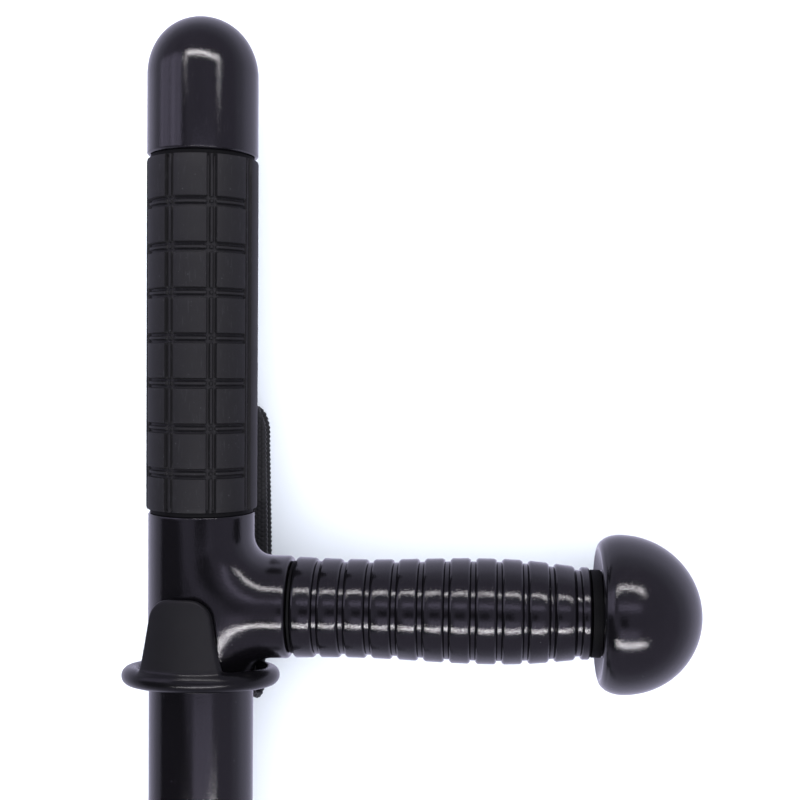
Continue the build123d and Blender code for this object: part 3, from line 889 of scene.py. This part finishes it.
def strapPath():
    # the strip's middle line as (height, distance from the shaft's axis), once round
    kit = strapKit
    half = kit["thick"] / 2
    inner, outer = wrapInner + half, wrapOuter - half
    foldR = (outer - inner) / 2
    foldY = wrapLow.y + wrapOuter / 2 - wrapInner / 2
    upInner, upOuter = -loopHigh.z + half, -loopLow.z - half
    topR = (upOuter - upInner) / 2
    topY = loopHigh.y - half - topR
    spots = []

    def line(start, end):
        steps = ceil((Vector(end) - Vector(start)).length / (kit["ribPitch"] / 4))
        spots.extend([Vector(start).lerp(Vector(end), k / steps) for k in range(steps)])

    def bend(y, r, radius, startDeg, endDeg):
        steps = ceil(radius * radians(abs(endDeg - startDeg)) / (kit["ribPitch"] / 4))
        for k in range(steps):
            t = radians(startDeg + (endDeg - startDeg) * k / steps)
            spots.append(Vector((y + radius * sin(t), r + radius * cos(t))))

    easeY = kit["cupTo"] + 6 * mm
    line((foldY, outer), (kit["cupFrom"], outer))
    line((kit["cupFrom"], outer), (easeY, upOuter))
    line((easeY, upOuter), (topY, upOuter))
    bend(topY, upOuter - topR, topR, 0, 180)
    line((topY, upInner), (easeY, upInner))
    line((easeY, upInner), (kit["cupFrom"], inner))
    line((kit["cupFrom"], inner), (foldY, inner))
    bend(foldY, inner + foldR, foldR, 180, 360)
    spots = np.array(spots)
    for smoothing in range(6):
        spots = (np.roll(spots, 1, 0) + spots * 2 + np.roll(spots, -1, 0)) / 4
    return spots


def makeStrap():
    kit = strapKit
    path = strapPath()
    count = len(path)
    ahead = np.roll(path, -1, 0) - np.roll(path, 1, 0)
    ahead /= np.linalg.norm(ahead, axis=1)[:, None]
    outwards = np.stack([-ahead[:, 1], ahead[:, 0]], -1)
    lengths = np.concatenate([[0], np.cumsum(np.linalg.norm(np.diff(path, axis=0), axis=1))])
    height = path[:, 0]
    cup = 1 - np.clip((height - kit["cupFrom"]) / (kit["cupTo"] - kit["cupFrom"]), 0, 1)
    cup = np.maximum(cup * cup * (3 - 2 * cup), 1e-3)
    corner = kit["topCorner"]
    past = np.clip(height - (loopHigh.y - corner), 0, corner)
    half = kit["halfWidth"] - (corner - np.sqrt(np.maximum(corner ** 2 - past ** 2, 0))) * 0.55
    half = half - kit["narrow"] * np.clip((height - 20 * mm) / (50 * mm), 0, 1)
    half = half + kit["scallop"] * (np.abs(np.sin(pi * lengths / kit["ribPitch"])) - 0.6)
    columns = kit["columns"]
    profile = []        # across the strip and through it, once round its section, with rounded edges
    for k in range(columns + 1):
        profile.append((-1 + 2 * k / columns, 1.0))
    profile += [(1.0, 0.5), (1.0, -0.5)]
    for k in range(columns + 1):
        profile.append((1 - 2 * k / columns, -1.0))
    profile += [(-1.0, -0.5), (-1.0, 0.5)]
    width = len(profile)
    spots = np.zeros((count, width, 3))
    maps = np.zeros((count, width, 2))
    for k, (share, through) in enumerate(profile):
        tuck = 0.35 * mm if abs(share) == 1.0 and abs(through) == 1.0 else 0.0
        s = share * (half - tuck)
        thick = kit["thick"] / 2 * through * (0.97 if abs(share) < 1 else 0.86)
        waves = 0.04 * mm * np.abs(np.sin(pi * lengths / kit["ribPitch"])) * np.sign(through)
        y = height + outwards[:, 0] * (thick + waves)
        bendR = path[:, 1] / cup
        off = outwards[:, 1] * (thick + waves)
        turn = s / bendR
        sagging = 0.25 * mm * np.sin(height * 60 + share * 2.0) * np.clip((height - 15 * mm) / (30 * mm), 0, 1)
        spots[:, k, 0] = (bendR + off) * np.sin(turn)
        spots[:, k, 1] = y
        spots[:, k, 2] = -path[:, 1] + bendR - (bendR + off) * np.cos(turn) + sagging
        maps[:, k] = np.stack([s + 0.05, lengths], -1)
    faces, corners = [], []
    total = lengths[-1] + np.linalg.norm(path[0] - path[-1])
    for i in range(count):
        for k in range(width):
            j, m = (i + 1) % count, (k + 1) % width
            faces.append((i * width + k, i * width + m, j * width + m, j * width + k))
            late = maps[j].copy()
            late[:, 1] += total if j == 0 else 0
            corners += [maps[i, k], maps[i, m], late[m], late[k]]
    mesh = bpy.data.meshes.new("webbingLoop")
    mesh.from_pydata(spots.reshape(-1, 3), [], faces)
    layer = mesh.uv_layers.new(name="strapMap")
    layer.data.foreach_set("uv", np.array(corners, np.float32).ravel())
    closeUp(mesh, 0)
    return keepMesh("webbingLoop", mesh, webbing, 70)


strap = makeStrap()
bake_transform(strap)
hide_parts("loop_wrap", "belt_loop")
print("made", strap.name, len(strap.data.polygons), "faces")

stitchLow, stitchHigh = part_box("loop_stitching")
stitchSizes = {
    "columns": 7, "rows": 4, "length": 3.0 * mm, "thread": 0.33 * mm, "sink": 0.12 * mm, "arch": 0.42 * mm, "seed": 4,
    "middleX": (stitchLow.x + stitchHigh.x) / 2, "middleY": (stitchLow.y + stitchHigh.y) / 2, "face": loopLow.z,
    "spanX": stitchHigh.x - stitchLow.x - 3.0 * mm, "spanY": stitchHigh.y - stitchLow.y - 0.7 * mm,
}


def stitchTree(graph, size):
    places = graph.node("GeometryNodeMeshGrid", None, {
        "Size X": size["spanX"], "Size Y": size["spanY"], "Vertices X": size["columns"], "Vertices Y": size["rows"]})
    half = size["length"] / 2
    bow = graph.node("GeometryNodeCurveQuadraticBezier", None, {
        "Resolution": 8, "Start": graph.vector(-half, 0.0, size["sink"]), "End": graph.vector(half, 0.0, size["sink"]),
        "Middle": graph.vector(0.0, 0.0, -size["arch"])})
    ring = graph.node("GeometryNodeCurvePrimitiveCircle", None, {"Resolution": 8, "Radius": size["thread"]})
    strand = graph.node("GeometryNodeCurveToMesh", None, {"Curve": bow, "Profile Curve": ring, "Fill Caps": True})
    lean = graph.node("FunctionNodeRandomValue", {"data_type": "FLOAT_VECTOR"}, {
        0: (0.0, 0.0, -0.06), 1: (0.0, 0.0, 0.06), "Seed": size["seed"]})
    points = graph.node("GeometryNodeInstanceOnPoints", None, {"Points": places, "Instance": strand, "Rotation": lean})
    real = graph.node("GeometryNodeRealizeInstances", None, {"Geometry": points})
    return graph.node("GeometryNodeTransform", None, {
        "Geometry": real, "Translation": graph.vector(size["middleX"], size["middleY"], size["face"])})


stitches = nodeModel("loopStitches", stitchSizes, stitchTree, thread)
settle(stitches, "belt_loop", "thread", "loop_stitching")


# floor, light and camera

floorKit = {"size": 4.0, "drop": 0.3 * mm, "colour": (0.86, 0.87, 0.90)}


def makeFloor():
    material, graph, shader, place = newMaterial("paleFloor")
    shade = noise(place, 3.0, 3.0)
    wire(shader, "Base Color", graph.colours(shade * 0.3, floorKit["colour"], (0.90, 0.90, 0.91)))
    wire(shader, "Roughness", 0.7 + shade * 0.1)
    floor = addSheet("floor", floorKit["size"], cadLow.z - floorKit["drop"], material)
    floor.visible_glossy = False        # the tent's own glow stands in for it in reflections


def addSheet(name, size, z, material):        # a level square, facing up
    half = size / 2
    mesh = bpy.data.meshes.new(name)
    corners = [(i * half, j * half, z) for i, j in ((-1, -1), (1, -1), (1, 1), (-1, 1))]
    mesh.from_pydata(corners, [], [(0, 1, 2, 3)])
    mesh.materials.append(material)
    sheet = bpy.data.objects.new(name, mesh)
    bpy.context.scene.collection.objects.link(sheet)
    return sheet


# a light tent: lamp strips round the opening of its ceiling, two of them long and two short
lampKit = {
    "height": 0.330, "left": -0.140, "right": 0.330, "near": -0.185, "far": 0.390, "width": 0.018, "glow": 48.0,
    "colour": (1.0, 0.97, 1.0), "skyGlow": 2.5, "skyColour": (0.87, 0.92, 1.0), "wallGlow": 0.50, "floorGlow": 0.85,
    "tentColour": (0.97, 0.94, 1.24),
}
ceilingKit = {
    "height": 0.334, "size": 6.0, "glow": 0.36, "shadeGlow": 0.04, "curtainGlow": 1.35, "curtainX": -0.19, "folds": 1.8,
    "tint": (1.0, 0.92, 1.28),
}
ceilingPatches = {        # glow, from and to along x, from and to along y, softness along x and y
    "gap": (0.04, -0.185, -0.145, 0.1, 0.42, 0.006, 0.006),
    "panel": (0.95, -0.02, 0.25, -0.26, -0.045, 0.006, 0.006),
    "cameraShade": (0.04, -0.005, 0.14, -0.014, 0.060, 0.012, 0.006),
    "crossbar": (1.5, -0.045, 0.27, 0.125, 0.175, 0.006, 0.020),
}


def addStrip(name, x, y, sizeX, sizeY, share=1.0):
    kit = lampKit
    lamp = bpy.data.lights.new(name, "AREA")
    lamp.shape = "RECTANGLE"
    lamp.size, lamp.size_y = sizeX, sizeY
    lamp.energy = kit["glow"] * pi * sizeX * sizeY * share
    lamp.color = kit["colour"]
    strip = bpy.data.objects.new(name, lamp)
    strip.location = (x, y, kit["height"])
    strip.visible_camera = False
    strip.visible_diffuse = False
    bpy.context.scene.collection.objects.link(strip)


def makeCeiling():
    # what the gloss reflects from above: dull cloth, a curtain's folds and the patches
    kit = ceilingKit
    material, graph, shader, place = newMaterial("tentCeiling")
    x, y, z = graph.parts(place)

    def inside(value, low, high, soft):
        return graph.step(value, low - soft, low + soft) * (1 - graph.step(value, high - soft, high + soft))

    cloth = kit["glow"] * (0.75 + noise(place, 5.0, 2.0) * 0.5)
    gloom = graph.step(-x - 0.020 - (y + 0.120) * 1.57, -0.01, 0.01) * (y < 0.1) * (y > x * 0.45 - 0.25)
    glow = graph.pick(gloom, cloth, kit["shadeGlow"])
    octave = (-x).math("MAXIMUM", 0.05).math("LOGARITHM", 2.0)
    folds = noise(graph.vector(octave * kit["folds"], 0.0, 0.0), 1.0, 2.0)
    curtain = (1 - graph.step(x, kit["curtainX"] - 0.005, kit["curtainX"] + 0.005)) * (y > 0.1) * (y < 0.345 - x * 0.3)
    glow = graph.pick(curtain, glow, kit["curtainGlow"] * (0.38 + graph.step(folds, 0.40, 0.58) * 0.75))
    for level, left, right, near, far, softX, softY in ceilingPatches.values():
        glow = graph.pick(inside(x, left, right, softX) * inside(y, near, far, softY), glow, level)
    wire(shader, "Emission Color", graph.vector(*[glow * share for share in kit["tint"]]))
    shader.inputs["Emission Strength"].default_value = 1.0
    shader.inputs["Base Color"].default_value = (0, 0, 0, 1)
    shader.inputs["Specular IOR Level"].default_value = 0.0
    ceiling = addSheet("tentCeiling", kit["size"], kit["height"], material)
    for rays in ("camera", "diffuse", "transmission", "volume_scatter", "shadow"):
        setattr(ceiling, "visible_" + rays, False)


def makeLight():
    kit = lampKit
    middleX = (kit["left"] + kit["right"]) / 2
    spanX = kit["right"] - kit["left"]
    addStrip("farStrip", middleX, kit["far"], spanX, kit["width"])
    addStrip("nearStrip", middleX, kit["near"], spanX, kit["width"])
    addStrip("rightStrip", kit["right"], kit["far"] - 0.050, kit["width"] * 0.7, 0.10)
    addStrip("leftStrip", kit["left"], kit["far"] - 0.060, kit["width"] * 0.6, 0.10, 0.5)
    world = bpy.data.worlds.new("tent")
    world.use_nodes = True
    bpy.context.scene.world = world
    graph = Graph(world.node_tree)
    back = world.node_tree.nodes["Background"]
    x, y, z = graph.parts(graph.node("ShaderNodeTexCoord", None, None, out=0))
    tent = graph.pick(graph.step(z, -0.45, 0.0), kit["floorGlow"], kit["wallGlow"])
    shiny = graph.node("ShaderNodeLightPath", None, None, out=3)
    glow = graph.pick(shiny, kit["skyGlow"], tent)
    world.node_tree.links.new(glow.socket, back.inputs["Strength"])
    tint = graph.colours(shiny, kit["skyColour"], kit["tentColour"])
    world.node_tree.links.new(tint.socket, back.inputs["Color"])


cameraKit = {
    "place": (0.086487, 0.095756, 0.356297), "turnDeg": (-1.5482, 4.1032, 0.4662), "lens": 52.87, "sensor": 36.0,
}


def makeCamera():
    kit = cameraKit
    data = bpy.data.cameras.new("camera")
    data.lens, data.sensor_width = kit["lens"], kit["sensor"]
    data.clip_start, data.clip_end = 0.01, 20.0
    camera = bpy.data.objects.new("camera", data)
    turn = Euler([radians(t) for t in kit["turnDeg"]]).to_matrix().to_4x4()
    camera.matrix_world = Matrix.Translation(kit["place"]) @ turn
    bpy.context.scene.collection.objects.link(camera)
    bpy.context.scene.camera = camera


makeFloor()
makeCeiling()
makeLight()
makeCamera()
bpy.context.scene.view_settings.view_transform = "Standard"
print("floor, light and camera ready")
